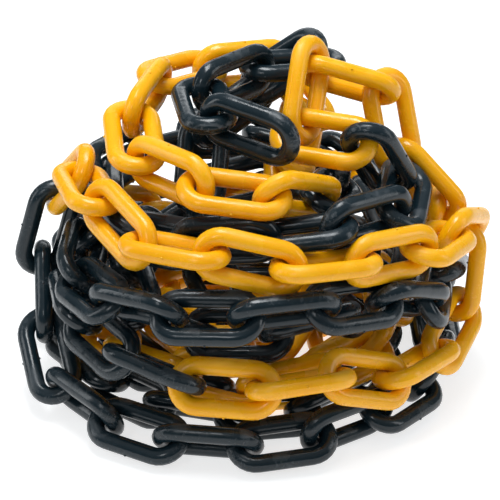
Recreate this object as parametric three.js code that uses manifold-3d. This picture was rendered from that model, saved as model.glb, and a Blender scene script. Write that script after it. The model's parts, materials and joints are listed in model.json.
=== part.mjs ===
// A heap of plastic barrier chain: one length of chain in black and yellow sections, dropped in
// loose turns on a flat surface, with its last links lying free on top.
// Millimetres, +Z up, the front of the heap towards -Y, the origin under the middle of the heap.

import * as THREE from "three";
import { mergeVertices } from "three/addons/utils/BufferGeometryUtils.js";
import Module from "manifold-3d";

// ---- driving dimensions of a link ----
const WIRE = 8;
const LINK_LENGTH = 50;
const LINK_WIDTH = 26;

const WIRE_RADIUS = WIRE / 2;
const BEND_RADIUS = (LINK_WIDTH - WIRE) / 2; // of the centreline round each crown
const HALF_STRAIGHT = (LINK_LENGTH - LINK_WIDTH) / 2;
const TIP = HALF_STRAIGHT + BEND_RADIUS; // from a link's middle to its centreline's tip
const JOINT_SPAN = 2 * BEND_RADIUS - WIRE - 1; // between the bend centres of two joined links
const PITCH = 2 * HALF_STRAIGHT + JOINT_SPAN;
const CROWN_STEPS = 4;
const CORNER_RADIUS = BEND_RADIUS + 0.5; // so that a crown's flat sides come nearer to its arc
const SINGLE_SIDES = 6;
const RUN_SIDES = 5;

// ---- the heap ----
const FLOOR = 0;
const HEAP_CORE = new THREE.Vector3(0, 0, 40); // links face away from it
const TOUCH_JOINED = WIRE + 0.03; // least distance between centrelines of joined links
const TOUCH_LOOSE = WIRE + 0.35; // and of links that only lie on each other
const TOUCH_MOVING = WIRE + 4.5; // and from the links that move to the rest
const FOOT_RADIUS = 97;
const FOOT_HEIGHT = FLOOR + BEND_RADIUS + WIRE_RADIUS * Math.cos(Math.PI / RUN_SIDES);
const FEET = [115, 150, 185]; // azimuths of the links that stand squarely on the floor
const SETTLE_STEPS = 1600;
const DROP_SHARE = 0.6; // of the steps, while links still sink; after it they are only pushed apart
const SINK = 0.05; // how far a link sinks in one step
const HOLD = 0.01; // how strongly a link keeps to its place on the route
const SOFT_HOOK = 0.2; // how strongly slack joints are taken up while links sink
const SEARCH_STEPS = 8; // steps from one search for near links to the next
const SEARCH_MARGIN = 6; // how much nearer two links may come between searches
const SETTLED = 0.01; // the deepest contact that may be left

// ---- which links are parts of their own, and which are joined in runs ----
const MAX_RUN = 12; // links in one run
const FRONT_AZIMUTH = 80; // links further round the heap than this are in runs
const TOP_HEIGHT = 120;
const SHELL_RADIUS = 80; // below the top, links nearer to the middle than this are in runs too
const ROD_RADIUS = 0.7; // of the rods that join the links of a run where they touch
const ROD_SHARE = 0.6; // of the distance between centrelines that a rod bridges

// ---- the way the chain was laid: azimuth from the front towards +X, radius, height ----
// An azimuth that keeps falling goes round the heap again and again in one direction.
const LEGS = [
  {
    colour: "yellow", // the first turn, on the floor near the middle
    lean: 45,
    way: [
      [920, 46, 11], [875, 46, 11], [830, 46, 11], [785, 46, 11], [740, 46, 11], [695, 48, 11],
    ],
  },
  {
    colour: "black", // a wider turn on the floor inside the foot ring
    lean: 45,
    way: [
      [660, 54, 11], [625, 64, 11], [590, 70, 11], [550, 71, 11], [510, 71, 11], [470, 71, 11],
      [430, 71, 11], [390, 71, 11], [350, 72, 11], [315, 75, 11],
    ],
  },
  {
    colour: "black", // the foot ring, and the climb up the left side
    lean: 12,
    way: [
      [288, 82, 12], [262, 94, 13], [230, 97, 13], [195, 97, 13], [165, 97, 13], [130, 97, 13],
      [95, 97, 13], [60, 97, 13], [25, 97, 13], [-10, 97, 13], [-42, 97, 13], [-64, 96, 20],
      [-80, 94, 36], [-87, 90, 58], [-88, 87, 80], [-92, 78, 100],
    ],
  },
  {
    colour: "yellow", // across the front at shoulder height, down the right side and back
    lean: 20,
    way: [
      [-84, 72, 114], [-52, 82, 110], [-26, 90, 106], [-5, 93, 108], [17, 95, 104],
      [39, 98, 103], [60, 101, 95], [80, 108, 84], [90, 108, 66], [76, 107, 52], [70, 103, 30],
      [52, 98, 26], [44, 97, 38], [31, 97, 43], [14, 97, 49], [2, 97, 42], [-13, 97, 46],
    ],
  },
  {
    colour: "black", // left at waist height, round the back, and across the front above it
    lean: 30,
    way: [
      [-34, 95, 52], [-54, 90, 55], [-75, 82, 55], [-98, 84, 54], [-130, 90, 48], [-165, 94, 40],
      [-200, 95, 37], [-235, 96, 38], [-265, 97, 48], [-290, 98, 60], [-308, 99, 68],
      [-323, 99, 81], [-343, 99, 84], [-363, 100, 82], [-386, 98, 80], [-413, 89, 73],
      [-435, 76, 74], [-455, 68, 78],
    ],
  },
  {
    colour: "yellow", // low inside, up the back, over the right shoulder to the top
    lean: 45,
    way: [
      [-485, 62, 66], [-515, 60, 52], [-550, 64, 38], [-590, 72, 30], [-630, 73, 30],
      [-670, 73, 30], [-710, 73, 30], [-750, 73, 31], [-790, 73, 31], [-830, 72, 31],
      [-865, 72, 38], [-890, 76, 54], [-915, 90, 68], [-945, 95, 76], [-975, 95, 80],
      [-1000, 92, 90], [-1010, 86, 104], [-998, 72, 122], [-990, 66, 138], [-992, 54, 152],
      [-994, 34, 160], [-1025, 8, 161], [-1043, 16, 144], [-1034, 34, 136], [-1031, 62, 134],
    ],
  },
  {
    colour: "black", // over the right front, round the inside, and up in a tighter turn
    lean: 20,
    way: [
      [-1020, 72, 124], [-1006, 79, 115], [-1014, 88, 107], [-1038, 87, 106], [-1062, 84, 111],
      [-1090, 70, 100], [-1130, 68, 98], [-1170, 68, 96], [-1210, 68, 94], [-1250, 70, 92],
      [-1290, 72, 86], [-1330, 72, 74], [-1370, 72, 63], [-1410, 72, 58], [-1450, 72, 58],
      [-1485, 68, 59], [-1515, 54, 62], [-1560, 42, 70], [-1610, 40, 78], [-1660, 40, 86],
      [-1710, 42, 96], [-1745, 52, 106], [-1765, 62, 116], [-1778, 70, 123],
    ],
  },
  {
    colour: "yellow", // across the top front to the left, round the back, down the middle
    lean: 35,
    way: [
      [-1792, 68, 128], [-1808, 62, 132], [-1820, 74, 122], [-1838, 66, 128], [-1872, 52, 136],
      [-1905, 44, 142], [-1945, 46, 140], [-1990, 52, 131], [-2030, 54, 118], [-2042, 36, 107],
      [-2060, 20, 98], [-2060, 18, 78], [-2062, 18, 62], [-2085, 30, 46], [-2110, 40, 38],
      [-2150, 43, 37], [-2200, 43, 37], [-2250, 43, 37], [-2300, 43, 37],
    ],
  },
  {
    colour: "black", // a turn inside that, then up through the middle to the free end
    lean: 45,
    way: [
      [-2350, 42, 36], [-2400, 38, 32], [-2450, 24, 30], [-2540, 14, 34], [-2600, 18, 52],
      [-2600, 18, 76], [-2600, 18, 96], [-2630, 20, 114], [-2690, 30, 130], [-2728, 50, 138],
      [-2748, 62, 140],
    ],
  },
];

// ---- the free end: each link's turn to the left and its dip, from the heading of the one before ----
const FREE_START = { at: [24, 20, 143], heading: [-0.98, -0.17, 0] };
const FREE_TURNS = [[35, 1], [55, 2], [48, 6]];
const HELD = 1; // the first link of the free end, which the heap holds

const UP = new THREE.Vector3(0, 0, 1);
const radians = THREE.MathUtils.degToRad;

/** The point of the route at an azimuth, a radius and a height. */
function place([azimuth, radius, height]) {
  const turn = radians(azimuth);
  return new THREE.Vector3(radius * Math.sin(turn), -radius * Math.cos(turn), height);
}

/** A link's pose: its middle, and its turn from the frame with the length on X and the width on Y. */
function linkPose(middle, along, normal) {
  const x = along.clone().normalize();
  const z = normal.clone().addScaledVector(x, -normal.dot(x)).normalize();
  const y = z.clone().cross(x);
  const turn = new THREE.Quaternion().setFromRotationMatrix(new THREE.Matrix4().makeBasis(x, y, z));
  return { middle: middle.clone(), turn };
}

/** Points along the whole route one pitch apart, each with the leg that it is on. */
function routePoints() {
  const corners = LEGS.flatMap((leg) => leg.way.map(place));
  const legOfCorner = LEGS.flatMap((leg, index) => leg.way.map(() => index));
  const curve = new THREE.CatmullRomCurve3(corners, false, "centripetal");
  const fine = 40 * (corners.length - 1);
  const points = [];
  let last = null;
  for (let i = 0; i <= fine; i += 1) {
    const point = curve.getPoint(i / fine);
    if (last === null || point.distanceTo(last) >= PITCH) {
      const corner = Math.round((i / fine) * (corners.length - 1));
      points.push({ point, leg: legOfCorner[corner] });
      last = point;
    }
  }
  return points;
}

/** The links of the heap in their first places, one between each two route points. */
function laidLinks() {
  const points = routePoints();
  const links = [];
  for (let i = 0; i + 1 < points.length; i += 1) {
    const from = points[i].point;
    const to = points[i + 1].point;
    const middle = from.clone().add(to).multiplyScalar(0.5);
    const along = to.clone().sub(from);
    const out = middle.clone().sub(HEAP_CORE);
    const { lean } = LEGS[points[i + 1].leg];
    const side = i % 2 === 0 ? lean : lean - 90;
    out.addScaledVector(along, -out.dot(along) / along.lengthSq()).normalize();
    out.applyAxisAngle(along.clone().normalize(), radians(side));
    links.push({ ...linkPose(middle, along, out), colour: LEGS[points[i + 1].leg].colour });
  }
  return links;
}

/** The upright link of the foot ring that is nearest to an azimuth. */
function footLink(links, azimuth) {
  const spot = place([azimuth, FOOT_RADIUS, FOOT_HEIGHT]);
  const distance = (link) => link.middle.distanceTo(spot);
  const upright = links.filter((link) => {
    const across = new THREE.Vector3(0, 1, 0).applyQuaternion(link.turn);
    return Math.abs(across.z) > 0.8;
  });
  return upright.reduce((best, link) => (distance(link) < distance(best) ? link : best));
}

/** Stands a link squarely on its side on the floor. */
function standSquare(link) {
  const along = new THREE.Vector3(1, 0, 0).applyQuaternion(link.turn).setZ(0).normalize();
  Object.assign(link, linkPose(link.middle.setZ(FOOT_HEIGHT), along, along.clone().cross(UP)));
}

/** The free end's links, by turns flat and upright, each hung exactly on the crown of the last. */
function freeLinks() {
  const heading = new THREE.Vector3(...FREE_START.heading);
  let link = linkPose(new THREE.Vector3(...FREE_START.at), heading, UP);
  const links = [link];
  FREE_TURNS.forEach(([left, dip], i) => {
    const flatParent = i % 2 === 0;
    const x = new THREE.Vector3(1, 0, 0).applyQuaternion(link.turn);
    const parentNormal = new THREE.Vector3(0, 0, 1).applyQuaternion(link.turn);
    const slid = x.clone().applyAxisAngle(parentNormal, radians(flatParent ? left : dip));
    const ownNormal = parentNormal.clone().cross(slid).multiplyScalar(flatParent ? 1 : -1);
    const crown = link.middle.clone().addScaledVector(x, HALF_STRAIGHT);
    crown.addScaledVector(slid, JOINT_SPAN);
    const along = slid.clone().applyAxisAngle(ownNormal, radians(flatParent ? dip : left));
    link = linkPose(crown.addScaledVector(along, HALF_STRAIGHT), along, ownNormal);
    links.push(link);
  });
  return links;
}

/** Centreline of a link as a closed polygon, in the link's own frame. */
function centreline() {
  const corners = [];
  for (const end of [1, -1]) {
    for (let i = 0; i <= CROWN_STEPS; i += 1) {
      const angle = Math.PI * (i / CROWN_STEPS - 0.5);
      const radius = i % 2 === 0 ? BEND_RADIUS : CORNER_RADIUS;
      const x = end * (HALF_STRAIGHT + radius * Math.cos(angle));
      corners.push(new THREE.Vector3(x, end * radius * Math.sin(angle), 0));
    }
  }
  return corners;
}

// ---- settling: links are pushed off each other and the floor until nothing touches ----
const OUTLINE = centreline();
const SIDES_OF_OUTLINE = OUTLINE.length;
const HALF_SIDE = OUTLINE.map((corner, i) => {
  return corner.distanceTo(OUTLINE[(i + 1) % SIDES_OF_OUTLINE]) / 2;
});
const GYRATION_SQUARED = 15 ** 2; // how a link's push is shared between moving and turning

/** Brings a link's outline to its place in the heap. */
function refresh(link) {
  for (let i = 0; i < SIDES_OF_OUTLINE; i += 1) {
    link.outline[i].copy(OUTLINE[i]).applyQuaternion(link.turn).add(link.middle);
  }
}

const edgeA = new THREE.Vector3();
const edgeB = new THREE.Vector3();
const between = new THREE.Vector3();

/** Closest points of two straight stretches, as shares of their lengths, and their distance. */
function closest(a0, a1, b0, b1) {
  edgeA.subVectors(a1, a0);
  edgeB.subVectors(b1, b0);
  between.subVectors(a0, b0);
  const aa = edgeA.lengthSq();
  const bb = edgeB.lengthSq();
  const ab = edgeA.dot(edgeB);
  const ra = edgeA.dot(between);
  const rb = edgeB.dot(between);
  const flat = aa * bb - ab * ab;
  let s = flat > 1e-9 ? THREE.MathUtils.clamp((ab * rb - bb * ra) / flat, 0, 1) : 0.5;
  let t = (ab * s + rb) / bb;
  if (t < 0 || t > 1) {
    t = THREE.MathUtils.clamp(t, 0, 1);
    s = THREE.MathUtils.clamp((ab * t - ra) / aa, 0, 1);
  }
  return [s, t];
}

const arm = new THREE.Vector3();
const spin = new THREE.Vector3();
const nudge = new THREE.Quaternion();

/** How readily a push along a direction at a point moves a link. */
function give(link, point, direction) {
  if (link.fixed) return 0;
  arm.subVectors(point, link.middle).cross(direction);
  return 1 + arm.lengthSq() / GYRATION_SQUARED;
}

/** Moves and turns a link as a push at a point does. */
function push(link, point, direction, amount) {
  if (link.fixed) return;
  spin.subVectors(point, link.middle).cross(direction).multiplyScalar(amount / GYRATION_SQUARED);
  link.middle.addScaledVector(direction, amount);
  const angle = spin.length();
  if (angle > 1e-9) {
    nudge.setFromAxisAngle(spin.divideScalar(angle), angle);
    link.turn.premultiply(nudge).normalize();
  }
}

/** Pushes two points of two links apart, or together where the amount is negative. */
function pushApart(a, pointA, b, pointB, direction, amount) {
  const total = give(a, pointA, direction) + give(b, pointB, direction);
  if (total === 0) return;
  push(a, pointA, direction, amount / total);
  push(b, pointB, direction, -amount / total);
}

const onA = new THREE.Vector3();
const onB = new THREE.Vector3();
const apart = new THREE.Vector3();

/** Pushes two links off each other wherever their centrelines are nearer than they may be. */
function separate(a, b, least) {
  let deepest = 0;
  for (let i = 0; i < SIDES_OF_OUTLINE; i += 1) {
    const a0 = a.outline[i];
    const a1 = a.outline[(i + 1) % SIDES_OF_OUTLINE];
    for (let j = 0; j < SIDES_OF_OUTLINE; j += 1) {
      const b0 = b.outline[j];
      const b1 = b.outline[(j + 1) % SIDES_OF_OUTLINE];
      const reach = (HALF_SIDE[i] + HALF_SIDE[j] + least) * 2;
      const dx = a0.x + a1.x - b0.x - b1.x;
      const dy = a0.y + a1.y - b0.y - b1.y;
      const dz = a0.z + a1.z - b0.z - b1.z;
      if (dx * dx + dy * dy + dz * dz > reach * reach) continue;
      const [s, t] = closest(a0, a1, b0, b1);
      onA.lerpVectors(a0, a1, s);
      onB.lerpVectors(b0, b1, t);
      apart.subVectors(onA, onB);
      const distance = apart.length();
      if (distance >= least || distance < 1e-6) continue;
      deepest = Math.max(deepest, least - distance);
      pushApart(a, onA.clone(), b, onB.clone(), apart.divideScalar(distance), least - distance);
      refresh(a);
      refresh(b);
    }
  }
  return deepest;
}

/** Bend centre of a link's crown at its leading (+1) or trailing (-1) end. */
function bendCentre(link, end) {
  return new THREE.Vector3(end * HALF_STRAIGHT, 0, 0).applyQuaternion(link.turn).add(link.middle);
}

/** Keeps two neighbouring links hooked in each other. */
function keepHooked(a, b, slackShare) {
  const centreA = bendCentre(a, 1);
  const centreB = bendCentre(b, -1);
  const pull = centreA.clone().sub(centreB);
  const length = pull.length();
  if (length < 1e-6) return;
  const excess = length - JOINT_SPAN;
  const share = excess > 0 ? 1 : slackShare;
  pushApart(a, centreA, b, centreB, pull.divideScalar(length), -excess * share);
  refresh(a);
  refresh(b);
}

/** Lifts a link wherever its wire is below the floor. */
function keepAboveFloor(link) {
  if (link.fixed || link.foot) {
    refresh(link);
    return;
  }
  for (const corner of link.outline) {
    const depth = FLOOR + WIRE_RADIUS - corner.z;
    if (depth > 0) {
      const point = corner.clone();
      push(link, point, UP, depth / give(link, point, UP));
    }
  }
  refresh(link);
}

/** Least distance between the centrelines of two links, the second later on the chain. */
function neededGap(i, j, moving) {
  if (j === i + 1) return TOUCH_JOINED;
  return j >= moving ? TOUCH_MOVING : TOUCH_LOOSE;
}

/** The pairs of links that could touch before the next search. */
function nearPairs(links) {
  const near = 2 * TIP + TOUCH_MOVING + SEARCH_MARGIN;
  const pairs = [];
  for (let i = 0; i < links.length; i += 1) {
    for (let j = i + 1; j < links.length; j += 1) {
      if (links[i].middle.distanceTo(links[j].middle) < near) pairs.push([i, j]);
    }
  }
  return pairs;
}

/** Lets the heap settle, and returns the deepest contact that is left. */
function settle(links, moving) {
  const homes = links.map((link) => link.middle.clone());
  let pairs = [];
  let deepest = 0;
  links.forEach(refresh);
  for (let step = 0; step < SETTLE_STEPS; step += 1) {
    const sinking = step < SETTLE_STEPS * DROP_SHARE;
    if (step % SEARCH_STEPS === 0) pairs = nearPairs(links);
    if (sinking) {
      links.forEach((link, i) => {
        if (link.fixed) return;
        link.middle.lerp(homes[i], HOLD);
        link.middle.z -= SINK;
        refresh(link);
      });
    }
    for (let i = 0; i + 1 < links.length; i += 1) {
      keepHooked(links[i], links[i + 1], sinking ? SOFT_HOOK : 0);
    }
    deepest = 0;
    for (const [i, j] of pairs) {
      if (links[i].fixed && links[j].fixed) continue;
      deepest = Math.max(deepest, separate(links[i], links[j], neededGap(i, j, moving)));
    }
    for (const link of links) {
      if (link.foot) standSquare(link);
      keepAboveFloor(link);
    }
    if (!sinking && deepest < SETTLED) break;
  }
  return deepest;
}

// ---- solids ----
/** A link's wire as one closed surface: rings of corners round the centreline, joined in a loop. */
function linkGeometry(sides, link) {
  const corners = [];
  const faces = [];
  OUTLINE.forEach((corner) => {
    const end = Math.sign(corner.x);
    const outward = corner.clone().setX(corner.x - end * HALF_STRAIGHT).normalize();
    for (let i = 0; i < sides; i += 1) {
      const angle = (2 * Math.PI * (i + 0.5)) / sides;
      const point = corner.clone().addScaledVector(outward, WIRE_RADIUS * Math.cos(angle));
      point.z += WIRE_RADIUS * Math.sin(angle);
      corners.push(point.applyQuaternion(link.turn).add(link.middle));
    }
  });
  for (let ring = 0; ring < SIDES_OF_OUTLINE; ring += 1) {
    const next = (ring + 1) % SIDES_OF_OUTLINE;
    for (let i = 0; i < sides; i += 1) {
      const j = (i + 1) % sides;
      const [a, b, c, d] = [ring * sides + i, ring * sides + j, next * sides + j, next * sides + i];
      faces.push(a, c, b, a, d, c);
    }
  }
  const geometry = new THREE.BufferGeometry();
  const values = corners.flatMap((corner) => corner.toArray());
  geometry.setAttribute("position", new THREE.Float32BufferAttribute(values, 3));
  geometry.setIndex(faces);
  return geometry;
}

const wasm = await Module();
wasm.setup();

function toSolid(geometry) {
  const mesh = new wasm.Mesh({
    numProp: 3,
    vertProperties: new Float32Array(geometry.attributes.position.array),
    triVerts: new Uint32Array(geometry.index.array),
  });
  return new wasm.Manifold(mesh);
}

function fromSolid(solid) {
  const mesh = solid.getMesh();
  const geometry = new THREE.BufferGeometry();
  geometry.setAttribute("position", new THREE.BufferAttribute(mesh.vertProperties, 3));
  geometry.setIndex(new THREE.BufferAttribute(mesh.triVerts, 1));
  return geometry;
}

/** A short rod across the contact between two joined links, which makes a run of them one body. */
function contactRod(a, b) {
  let best = { distance: Infinity };
  for (let i = 0; i < SIDES_OF_OUTLINE; i += 1) {
    const a0 = a.outline[i];
    const a1 = a.outline[(i + 1) % SIDES_OF_OUTLINE];
    for (let j = 0; j < SIDES_OF_OUTLINE; j += 1) {
      const b0 = b.outline[j];
      const b1 = b.outline[(j + 1) % SIDES_OF_OUTLINE];
      const crowns = HALF_SIDE[i] < HALF_STRAIGHT / 2 && HALF_SIDE[j] < HALF_STRAIGHT / 2;
      if (!crowns) continue;
      const [s, t] = closest(a0, a1, b0, b1);
      const from = a0.clone().lerp(a1, s);
      const to = b0.clone().lerp(b1, t);
      const distance = from.distanceTo(to);
      if (distance < best.distance) best = { distance, from, to };
    }
  }
  const rod = new THREE.CylinderGeometry(ROD_RADIUS, ROD_RADIUS, best.distance * ROD_SHARE, 3);
  rod.deleteAttribute("normal");
  rod.deleteAttribute("uv");
  const along = best.to.clone().sub(best.from).normalize();
  const turn = new THREE.Quaternion().setFromUnitVectors(new THREE.Vector3(0, 1, 0), along);
  rod.applyQuaternion(turn);
  const middle = best.from.clone().lerp(best.to, 0.5);
  rod.translate(middle.x, middle.y, middle.z);
  return mergeVertices(rod);
}

function runGeometry(links) {
  let solid = toSolid(linkGeometry(RUN_SIDES, links[0]));
  for (let i = 1; i < links.length; i += 1) {
    solid = solid.add(toSolid(linkGeometry(RUN_SIDES, links[i])));
    solid = solid.add(toSolid(contactRod(links[i - 1], links[i])));
  }
  return fromSolid(solid);
}

// ---- materials ----
const MATERIALS = {
  black: new THREE.MeshStandardMaterial({ color: 0x1b2126, roughness: 0.32, metalness: 0 }),
  yellow: new THREE.MeshStandardMaterial({ color: 0xf7ae08, roughness: 0.35, metalness: 0 }),
};

// ---- the whole chain ----
const laid = laidLinks();
const freeEnd = freeLinks();
const chain = [...laid, ...freeEnd];
for (const azimuth of FEET) footLink(laid, azimuth).foot = true;
const firstFree = laid.length;
chain.forEach((link, i) => {
  link.outline = OUTLINE.map(() => new THREE.Vector3());
  link.fixed = i >= firstFree;
  if (link.fixed) link.colour = "black";
});
const firstMoving = firstFree + HELD;
settle(chain, firstMoving);

/** Whether a link shows from the front, and so is a part of its own. */
function shows(link) {
  const { x, y, z } = link.middle;
  const azimuth = Math.abs(THREE.MathUtils.radToDeg(Math.atan2(x, -y)));
  const outside = z > TOP_HEIGHT || Math.hypot(x, y) > SHELL_RADIUS;
  return outside && azimuth < FRONT_AZIMUTH;
}

const group = new THREE.Group();
let runCount = 0;
let waiting = [];

function addMesh(name, geometry, colour) {
  const mesh = new THREE.Mesh(geometry, MATERIALS[colour]);
  mesh.name = name;
  group.add(mesh);
}

function closeRun() {
  if (waiting.length === 0) return;
  runCount += 1;
  const { colour } = waiting[0];
  const name = `${colour}_run_${String(runCount).padStart(2, "0")}`;
  addMesh(name, runGeometry(waiting), colour);
  waiting = [];
}

chain.forEach((link, i) => {
  if (i >= firstFree) {
    closeRun();
    const name = i === firstFree ? "free_end_anchor" : `free_end_link_${i - firstFree}`;
    addMesh(name, linkGeometry(SINGLE_SIDES, link), link.colour);
  } else if (shows(link)) {
    closeRun();
    const name = `${link.colour}_link_${String(i).padStart(3, "0")}`;
    addMesh(name, linkGeometry(SINGLE_SIDES, link), link.colour);
  } else {
    if (waiting.length === MAX_RUN || (waiting.length > 0 && waiting[0].colour !== link.colour)) {
      closeRun();
    }
    waiting.push(link);
  }
});

// the origin goes under the middle of the heap, on the surface that it lies on
const box = new THREE.Box3().setFromObject(group);
const centre = box.getCenter(new THREE.Vector3());
group.position.set(-centre.x, -centre.y, -box.min.z);

export default group;
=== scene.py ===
"""A heap of plastic barrier chain, dressed for its picture.

Every CAD link is a coarse ring of straight-sided wire. This script finds each link's place in the
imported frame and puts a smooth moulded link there: round wire, a fine parting ridge round it, and
the stub of the moulding gate on one bar or both. One piece stands for each CAD node and rides on its body.
Sizes are in metres, +Z up, the front of the heap towards -Y.
"""

import json
import math
import random

import bmesh
import bpy
import numpy as np
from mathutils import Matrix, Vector


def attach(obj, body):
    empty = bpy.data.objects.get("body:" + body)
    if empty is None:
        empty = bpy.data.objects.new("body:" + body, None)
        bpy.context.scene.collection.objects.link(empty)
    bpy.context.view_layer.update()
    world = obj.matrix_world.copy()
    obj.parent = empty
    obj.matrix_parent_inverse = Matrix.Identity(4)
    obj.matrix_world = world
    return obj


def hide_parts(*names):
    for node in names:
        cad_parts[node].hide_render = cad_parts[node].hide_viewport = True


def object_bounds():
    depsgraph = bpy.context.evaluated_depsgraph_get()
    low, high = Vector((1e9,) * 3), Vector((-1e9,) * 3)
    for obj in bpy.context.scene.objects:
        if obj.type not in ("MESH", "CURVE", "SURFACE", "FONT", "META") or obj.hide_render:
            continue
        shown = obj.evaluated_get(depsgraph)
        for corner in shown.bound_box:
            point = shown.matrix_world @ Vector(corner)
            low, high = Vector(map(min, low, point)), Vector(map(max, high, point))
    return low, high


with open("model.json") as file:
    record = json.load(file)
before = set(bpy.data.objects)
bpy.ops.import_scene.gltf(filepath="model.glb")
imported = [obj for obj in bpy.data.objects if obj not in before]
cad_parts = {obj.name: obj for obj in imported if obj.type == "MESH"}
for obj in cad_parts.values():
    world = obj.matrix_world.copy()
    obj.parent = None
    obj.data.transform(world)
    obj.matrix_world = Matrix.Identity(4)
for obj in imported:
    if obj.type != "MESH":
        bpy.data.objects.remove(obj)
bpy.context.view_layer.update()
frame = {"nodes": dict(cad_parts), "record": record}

MM = 0.001

# ---- a link, as the CAD part has it ----
WIRE_RADIUS = 4 * MM
BEND_RADIUS = 9 * MM  # of the centreline round each crown
HALF_STRAIGHT = 12 * MM
STRAIGHT = 2 * HALF_STRAIGHT
BAR_SPACING = 2 * BEND_RADIUS
EDGE_TOLERANCE = 0.02 * MM
WELD_DISTANCE = EDGE_TOLERANCE / 4
FIT_TOLERANCE = 5 * EDGE_TOLERANCE
LEAST_COSINE = 1 - 1e-5  # of the angle between two edges that count as parallel
EDGE_REACH = BAR_SPACING + 2.1 * WIRE_RADIUS  # no two edges of a link are further apart
LEAST_EDGES = 6  # fewer straight edges side by side are not a link's two bars

# ---- how finely it is drawn ----
CROWN_STEPS = 13
STRAIGHT_STEPS = 5
SECTION_STEPS = 20
RIDGE_HEIGHT = 0.07 * MM
RIDGE_HALF_WIDTH = math.radians(5)

BAR_WEAR = 0.35  # how much of the full wear the outside of a bar and of a crown gets
CROWN_WEAR = 1.0

GATE_RADIUS = 0.7 * MM
GATE_HEIGHT = 0.55 * MM
GATE_SINK = GATE_HEIGHT / 2  # how far the dome's foot is inside the wire
DOME_RISE = 1.5 * GATE_HEIGHT
GATE_SIDES = 10
GATE_RINGS = 3


# ---- where the links are ----
def straight_edges(mesh):
    """Middle and direction of every edge that is as long as a link's straight bars."""
    welded = bmesh.new()
    welded.from_mesh(mesh)
    bmesh.ops.remove_doubles(welded, verts=welded.verts, dist=WELD_DISTANCE)
    edges = []
    for edge in welded.edges:
        start, end = (vert.co for vert in edge.verts)
        along = end - start
        if abs(along.length - STRAIGHT) < EDGE_TOLERANCE:
            edges.append(((start + end) / 2, along.normalized()))
    welded.free()
    return edges


def same_link(middle, direction, other_middle, other_direction):
    """Whether two straight edges belong to one link: side by side, level and within its width."""
    offset = middle - other_middle
    parallel = abs(direction.dot(other_direction)) > LEAST_COSINE
    level = abs(offset.dot(other_direction)) < FIT_TOLERANCE
    return parallel and level and offset.length < EDGE_REACH


def bar_axis(middles):
    """Where a bar's axis crosses the plane of its edges' middles, which lie on a circle round it."""
    origin = middles[0]
    offsets = np.array([middle - origin for middle in middles])
    plane = np.linalg.svd(offsets, full_matrices=False)[2][:2]
    flat = offsets @ plane.T
    terms = np.column_stack([2 * flat, np.ones(len(flat))])
    centre = np.linalg.lstsq(terms, (flat**2).sum(axis=1), rcond=None)[0][:2]
    return origin + Vector(centre @ plane)


def link_places(mesh):
    """Middle, length direction and width direction of every link in a CAD mesh."""
    groups = []
    for middle, direction in straight_edges(mesh):
        for group in groups:
            if same_link(middle, direction, *group[0]):
                group.append((middle, direction))
                break
        else:
            groups.append([(middle, direction)])
    places = []
    for group in groups:
        if len(group) < LEAST_EDGES:
            continue
        middles = [middle for middle, _ in group]
        outermost = max(middles, key=lambda middle: max((middle - other).length for other in middles))
        bars = [[], []]
        for middle in middles:
            bars[(middle - outermost).length > BAR_SPACING / 2 + WIRE_RADIUS].append(middle)
        near, far = (bar_axis(bar) for bar in bars)
        if abs((near - far).length - BAR_SPACING) > FIT_TOLERANCE:
            raise ValueError(f"{mesh.name}: two bars are {(near - far).length / MM:.2f} mm apart")
        places.append(((near + far) / 2, group[0][1], (near - far).normalized()))
    return places


# ---- the shape of one link ----
def centreline():
    """Points of a link's centreline, each with its outward direction and its share of a crown.

    The share is 0 along a bar and 1 at the tip of a crown.
    """
    stations = []
    for end in (1, -1):
        for i in range(CROWN_STEPS + 1):
            angle = math.pi * (i / CROWN_STEPS - 0.5)
            outward = Vector((end * math.cos(angle), end * math.sin(angle), 0))
            point = Vector((end * HALF_STRAIGHT, 0, 0)) + outward * BEND_RADIUS
            stations.append((point, outward, math.cos(angle)))
        for i in range(1, STRAIGHT_STEPS):
            x = end * (HALF_STRAIGHT - STRAIGHT * i / STRAIGHT_STEPS)
            outward = Vector((0, end, 0))
            stations.append((Vector((x, end * BEND_RADIUS, 0)), outward, 0.0))
    return stations


def wire_section():
    """Angle and radius of the points round the wire, with a fine ridge on the mould's parting line."""
    section = []
    half = SECTION_STEPS // 2
    for side in (0, math.pi):
        section.append((side, WIRE_RADIUS + RIDGE_HEIGHT))
        section.append((side + RIDGE_HALF_WIDTH, WIRE_RADIUS))
        section += [(side + math.pi * i / half, WIRE_RADIUS) for i in range(1, half)]
        section.append((side + math.pi - RIDGE_HALF_WIDTH, WIRE_RADIUS))
    return section


def link_template():
    """Corners of one link in its own frame, each with its wear, and its faces."""
    stations = centreline()
    section = wire_section()
    corners = []
    wear = []
    for point, outward, crown in stations:
        for angle, radius in section:
            side = Vector((0, 0, math.sin(angle)))
            corners.append(point + (outward * math.cos(angle) + side) * radius)
            wear.append(max(0.0, math.cos(angle)) * (BAR_WEAR + (CROWN_WEAR - BAR_WEAR) * crown))
    faces = []
    for i in range(len(stations)):
        next_i = (i + 1) % len(stations)
        for j in range(len(section)):
            next_j = (j + 1) % len(section)
            here = i * len(section)
            there = next_i * len(section)
            faces.append((here + j, there + j, there + next_j, here + next_j))
    return corners, wear, faces


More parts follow.
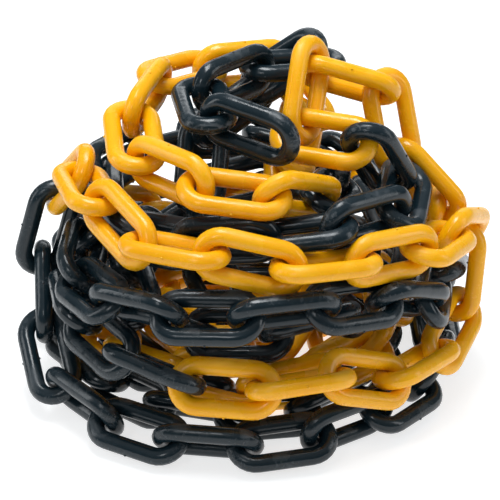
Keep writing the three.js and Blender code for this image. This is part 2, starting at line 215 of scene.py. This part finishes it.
def gate_stub(outward):
    """A low dome on the middle of a bar, where the gate was cut off, facing along the link's width."""
    corners = []
    base = Vector((0, BEND_RADIUS + outward * (WIRE_RADIUS - GATE_SINK), 0))
    for ring in range(GATE_RINGS):
        tilt = math.pi / 2 * ring / GATE_RINGS
        for i in range(GATE_SIDES):
            turn = 2 * math.pi * i / GATE_SIDES
            radius = GATE_RADIUS * math.cos(tilt)
            height = outward * DOME_RISE * math.sin(tilt)
            corners.append(base + Vector((radius * math.cos(turn), height, radius * math.sin(turn))))
    corners.append(base + Vector((0, outward * DOME_RISE, 0)))
    faces = [tuple(range(GATE_SIDES))]
    for ring in range(GATE_RINGS - 1):
        for i in range(GATE_SIDES):
            j = (i + 1) % GATE_SIDES
            low = ring * GATE_SIDES
            high = low + GATE_SIDES
            faces.append((low + i, high + i, high + j, low + j))
    last = (GATE_RINGS - 1) * GATE_SIDES
    tip = len(corners) - 1
    faces += [(last + i, tip, last + (i + 1) % GATE_SIDES) for i in range(GATE_SIDES)]
    if outward < 0:
        faces = [tuple(reversed(face)) for face in faces]
    return corners, faces


LINK_CORNERS, LINK_WEAR, LINK_FACES = link_template()
GATES = [gate_stub(1), gate_stub(-1)]


def dressed_node(name, places):
    """One mesh object with a smooth link at each place."""
    dice = random.Random(name)
    corners = []
    wear = []
    tone = []
    faces = []
    for centre, along, across in places:
        if dice.random() < 0.5:
            across = -across
        up = along.cross(across)
        link_tone = dice.random()
        shapes = [(LINK_CORNERS, LINK_FACES, LINK_WEAR)]
        for gate_corners, gate_faces in GATES[: 1 + dice.randrange(2)]:
            shapes.append((gate_corners, gate_faces, [1.0] * len(gate_corners)))
        for shape_corners, shape_faces, shape_wear in shapes:
            first = len(corners)
            corners += [centre + along * c.x + across * c.y + up * c.z for c in shape_corners]
            faces += [tuple(first + i for i in face) for face in shape_faces]
            wear += shape_wear
            tone += [link_tone] * len(shape_corners)
    mesh = bpy.data.meshes.new(name + "_look")
    mesh.from_pydata(corners, [], faces)
    mesh.attributes.new("wear", "FLOAT", "POINT").data.foreach_set("value", wear)
    mesh.attributes.new("tone", "FLOAT", "POINT").data.foreach_set("value", tone)
    mesh.shade_smooth()
    mesh.update()
    piece = bpy.data.objects.new(name + "_look", mesh)
    bpy.context.scene.collection.objects.link(piece)
    return piece


# ---- plastics ----
CLOUD_SCALE = 70
WAVE_SCALE = 260
GRAIN_SCALE = 2600
SCRATCH_SCALES = (700, 650)
SCRATCH_STRETCHES = ((1, 0.08, 1), (0.08, 1, 0.5))
SCRATCH_BAND = (0.54, 0.68)  # of the noise, from unscratched to fully scratched
PATCH_BAND = (0.4, 0.62)
# frost: a rougher grain speckle on faces that point up, whose lighter colour is painted top light
FROST_AND_TOP_LIGHT_BAND = (0.5, 0.7)
UPWARD_BAND = (0.35, 0.95)  # of the normal's Z, from bare to fully frosted and lightened as painted top light
CLOUD_BAND = (0.3, 0.7)
CLOUD_SHARE = 0.6
SMOOTHER = 0.05  # roughness below and above the look's own
ROUGHER = 0.06
SCUFF_ROUGHNESS = 0.3
FROST_ROUGHNESS = 0.35
SCUFF_DEPTH = 0.8  # as a share of the grain's
GRAIN_STRENGTH = 0.35
GRAIN_RELIEF = 0.06 * MM
WAVE_STRENGTH = 0.5
WAVE_RELIEF = 0.25 * MM
PLASTIC_IOR = 1.43
SCATTER_RADIUS = (1.0, 0.45, 0.1)
SCATTER_SCALE = 2.5 * MM


def plastic(name, look):
    """Glossy moulded plastic: a slightly uneven colour, scuffed where links rub, frosted on top, with
    painted top light that lightens the faces pointing up.
    """
    material = bpy.data.materials.new(name)
    material.use_nodes = True
    nodes = material.node_tree.nodes
    links = material.node_tree.links
    shader = nodes["Principled BSDF"]
    place = nodes.new("ShaderNodeTexCoord")

    def noise(scale, detail, stretch=(1, 1, 1)):
        mapping = nodes.new("ShaderNodeMapping")
        mapping.inputs["Scale"].default_value = stretch
        texture = nodes.new("ShaderNodeTexNoise")
        texture.inputs["Scale"].default_value = scale
        texture.inputs["Detail"].default_value = detail
        links.new(place.outputs["Object"], mapping.inputs["Vector"])
        links.new(mapping.outputs["Vector"], texture.inputs["Vector"])
        return texture.outputs["Fac"]

    def math_node(operation, a, b=None, clamp=False):
        node = nodes.new("ShaderNodeMath")
        node.operation = operation
        node.use_clamp = clamp
        for socket, value in zip(node.inputs, (a, b)):
            if isinstance(value, (int, float)):
                socket.default_value = value
            elif value is not None:
                links.new(value, socket)
        return node.outputs["Value"]

    def spread(value, band, to_low=0, to_high=1):
        node = nodes.new("ShaderNodeMapRange")
        node.interpolation_type = "SMOOTHSTEP"
        for socket, number in zip(("From Min", "From Max", "To Min", "To Max"), (*band, to_low, to_high)):
            node.inputs[socket].default_value = number
        links.new(value, node.inputs["Value"])
        return node.outputs["Result"]

    def mix_colour(factor, a, b):
        node = nodes.new("ShaderNodeMix")
        node.data_type = "RGBA"
        links.new(factor, node.inputs["Factor"])
        for socket, value in zip((node.inputs[6], node.inputs[7]), (a, b)):
            if isinstance(value, tuple):
                socket.default_value = (*value, 1)
            else:
                links.new(value, socket)
        return node.outputs[2]

    def attribute(attribute_name):
        node = nodes.new("ShaderNodeAttribute")
        node.attribute_name = attribute_name
        return node.outputs["Fac"]

    facing = nodes.new("ShaderNodeSeparateXYZ")
    links.new(place.outputs["Normal"], facing.inputs["Vector"])

    cloud = noise(CLOUD_SCALE, 3)
    grain = noise(GRAIN_SCALE, 2)
    scratch_sets = [noise(scale, 3, stretch) for scale, stretch in zip(SCRATCH_SCALES, SCRATCH_STRETCHES)]
    scratches = math_node("MAXIMUM", *scratch_sets)

    rubbed = math_node("MULTIPLY", attribute("wear"), spread(scratches, SCRATCH_BAND))
    scuff = math_node("MULTIPLY", rubbed, spread(cloud, PATCH_BAND))
    upward = spread(facing.outputs["Z"], UPWARD_BAND)
    # frost mask: upward faces times cloud times grain; it roughens them, and in the colour it is painted
    # top light
    frost_and_top_light = math_node("MULTIPLY", upward, math_node("MULTIPLY", spread(cloud, FROST_AND_TOP_LIGHT_BAND), grain))

    toned = mix_colour(attribute("tone"), look["dark"], look["light"])
    clouded = mix_colour(spread(cloud, CLOUD_BAND, 0, CLOUD_SHARE), toned, look["cloud"])
    scuffed = mix_colour(math_node("MULTIPLY", scuff, look["scuff_share"]), clouded, look["scuff"])
    # painted top light: faces that point up are mixed towards the light scuff colour
    top_lit = mix_colour(math_node("MULTIPLY", frost_and_top_light, look["top_light_share"]), scuffed, look["scuff"])
    links.new(top_lit, shader.inputs["Base Color"])

    rough = spread(cloud, CLOUD_BAND, look["rough"] - SMOOTHER, look["rough"] + ROUGHER)
    rough = math_node("ADD", rough, math_node("MULTIPLY", scuff, SCUFF_ROUGHNESS))
    rough = math_node("ADD", rough, math_node("MULTIPLY", frost_and_top_light, FROST_ROUGHNESS), clamp=True)
    links.new(rough, shader.inputs["Roughness"])

    bump = nodes.new("ShaderNodeBump")
    bump.inputs["Strength"].default_value = GRAIN_STRENGTH
    bump.inputs["Distance"].default_value = GRAIN_RELIEF
    relief = math_node("SUBTRACT", grain, math_node("MULTIPLY", scuff, SCUFF_DEPTH))
    links.new(relief, bump.inputs["Height"])
    wave = nodes.new("ShaderNodeBump")
    wave.inputs["Strength"].default_value = WAVE_STRENGTH
    wave.inputs["Distance"].default_value = WAVE_RELIEF
    links.new(noise(WAVE_SCALE, 1), wave.inputs["Height"])
    links.new(wave.outputs["Normal"], bump.inputs["Normal"])
    links.new(bump.outputs["Normal"], shader.inputs["Normal"])

    shader.inputs["IOR"].default_value = PLASTIC_IOR
    shader.inputs["Subsurface Weight"].default_value = look["subsurface"]
    shader.inputs["Subsurface Radius"].default_value = SCATTER_RADIUS
    shader.inputs["Subsurface Scale"].default_value = SCATTER_SCALE
    return material


PLASTICS = {
    "black": plastic("black_plastic_look", {
        "dark": (0.004, 0.011, 0.0155),
        "light": (0.007, 0.016, 0.022),
        "cloud": (0.006, 0.015, 0.0205),
        "scuff": (0.14, 0.155, 0.17),
        "scuff_share": 0.45,
        # how far frost lightens the colour on upward faces: painted top light
        "top_light_share": 0.5,
        "rough": 0.21,
        "subsurface": 0.0,
    }),
    "yellow": plastic("yellow_plastic_look", {
        "dark": (0.86, 0.37, 0.0015),
        "light": (0.91, 0.43, 0.002),
        "cloud": (0.92, 0.45, 0.0025),
        "scuff": (0.95, 0.60, 0.09),
        "scuff_share": 0.2,
        # how far frost lightens the colour on upward faces: painted top light
        "top_light_share": 0.3,
        "rough": 0.25,
        "subsurface": 0.12,
    }),
}

# ---- one piece for each CAD node ----
body_of_node = {
    node: body for body, members in frame["record"]["behaviour"]["bodies"].items() for node in members
}
link_total = 0
for node_name, cad in sorted(frame["nodes"].items()):
    places = link_places(cad.data)
    if not places:
        raise ValueError(f"{node_name}: no link found")
    link_total += len(places)
    colour = "yellow" if node_name.startswith("yellow") else "black"
    piece = dressed_node(node_name, places)
    piece.data.materials.append(PLASTICS[colour])
    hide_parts(node_name)
    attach(piece, body_of_node[node_name])
print("links:", link_total)

# ---- the floor ----
FLOOR_HALF = 3.0
PAPER_COLOUR = (0.55, 0.55, 0.55, 1)
PAPER_ROUGHNESS = 0.9
PAPER_SHEEN = 0.1
PAPER_GLOW = 0.72
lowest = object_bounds()[0].z
floor_corners = [
    (x * FLOOR_HALF, y * FLOOR_HALF, lowest) for x, y in ((-1, -1), (1, -1), (1, 1), (-1, 1))
]
floor_mesh = bpy.data.meshes.new("floor")
floor_mesh.from_pydata(floor_corners, [], [(0, 1, 2, 3)])
floor = bpy.data.objects.new("floor", floor_mesh)
bpy.context.scene.collection.objects.link(floor)
paper = bpy.data.materials.new("paper")
paper.use_nodes = True
paper_shader = paper.node_tree.nodes["Principled BSDF"]
paper_shader.inputs["Base Color"].default_value = PAPER_COLOUR
paper_shader.inputs["Roughness"].default_value = PAPER_ROUGHNESS
paper_shader.inputs["Specular IOR Level"].default_value = PAPER_SHEEN
paper_shader.inputs["Emission Color"].default_value = (1, 1, 1, 1)
paper_shader.inputs["Emission Strength"].default_value = PAPER_GLOW
floor_mesh.materials.append(paper)


# ---- light ----
LIT_POINT = (0, 0, 0.07)
LAMP_COLOUR = (0.95, 0.98, 1.0)
SKY_COLOUR = (0.86, 0.94, 1.0, 1)
GLOW_BAND = (0.1, 0.9)  # of the sky's height, from the horizon's glow to the zenith's
HORIZON_GLOW = 0.10
ZENITH_GLOW = 0.50


def softbox(name, place, width, height, watts):
    """A rectangular studio light that faces the lit point."""
    data = bpy.data.lights.new(name, "AREA")
    data.shape = "RECTANGLE"
    data.size = width
    data.size_y = height
    data.energy = watts
    data.color = LAMP_COLOUR
    lamp = bpy.data.objects.new(name, data)
    lamp.location = place
    lamp.rotation_mode = "QUATERNION"
    lamp.rotation_quaternion = (Vector(LIT_POINT) - Vector(place)).to_track_quat("-Z", "Y")
    bpy.context.scene.collection.objects.link(lamp)


softbox("top_box", place=(-0.05, -0.02, 0.75), width=0.40, height=0.22, watts=4.1)
softbox("left_box", place=(-0.75, -0.10, 0.35), width=0.18, height=0.55, watts=1.2)
softbox("right_box", place=(0.75, -0.20, 0.35), width=0.20, height=0.50, watts=1.0)
softbox("back_box", place=(0.0, 0.80, 0.45), width=0.80, height=0.20, watts=1.3)
softbox("front_box", place=(-0.30, -0.70, 0.60), width=0.16, height=0.16, watts=0.7)

world = bpy.data.worlds.new("studio")
world.use_nodes = True
sky = world.node_tree.nodes
direction = sky.new("ShaderNodeTexCoord")
height = sky.new("ShaderNodeSeparateXYZ")
glow = sky.new("ShaderNodeMapRange")
glow.inputs["From Min"].default_value = GLOW_BAND[0]
glow.inputs["From Max"].default_value = GLOW_BAND[1]
glow.inputs["To Min"].default_value = HORIZON_GLOW
glow.inputs["To Max"].default_value = ZENITH_GLOW
world.node_tree.links.new(direction.outputs["Generated"], height.inputs["Vector"])
world.node_tree.links.new(height.outputs["Z"], glow.inputs["Value"])
world.node_tree.links.new(glow.outputs["Result"], sky["Background"].inputs["Strength"])
sky["Background"].inputs["Color"].default_value = SKY_COLOUR
bpy.context.scene.world = world
bpy.context.scene.view_settings.view_transform = "Standard"

# ---- camera ----
CAMERA_ELEVATION = math.radians(28)
CAMERA_DISTANCE = 0.9
CAMERA_TARGET = Vector((-0.001, 0.0, 0.058))
CAMERA_LENS = 138
SENSOR_WIDTH = 36
camera_data = bpy.data.cameras.new("camera")
camera_data.lens = CAMERA_LENS
camera_data.sensor_width = SENSOR_WIDTH
camera = bpy.data.objects.new("camera", camera_data)
back = Vector((0, -math.cos(CAMERA_ELEVATION), math.sin(CAMERA_ELEVATION)))
camera.location = CAMERA_TARGET + back * CAMERA_DISTANCE
camera.rotation_mode = "QUATERNION"
camera.rotation_quaternion = (-back).to_track_quat("-Z", "Y")
bpy.context.scene.collection.objects.link(camera)
bpy.context.scene.camera = camera
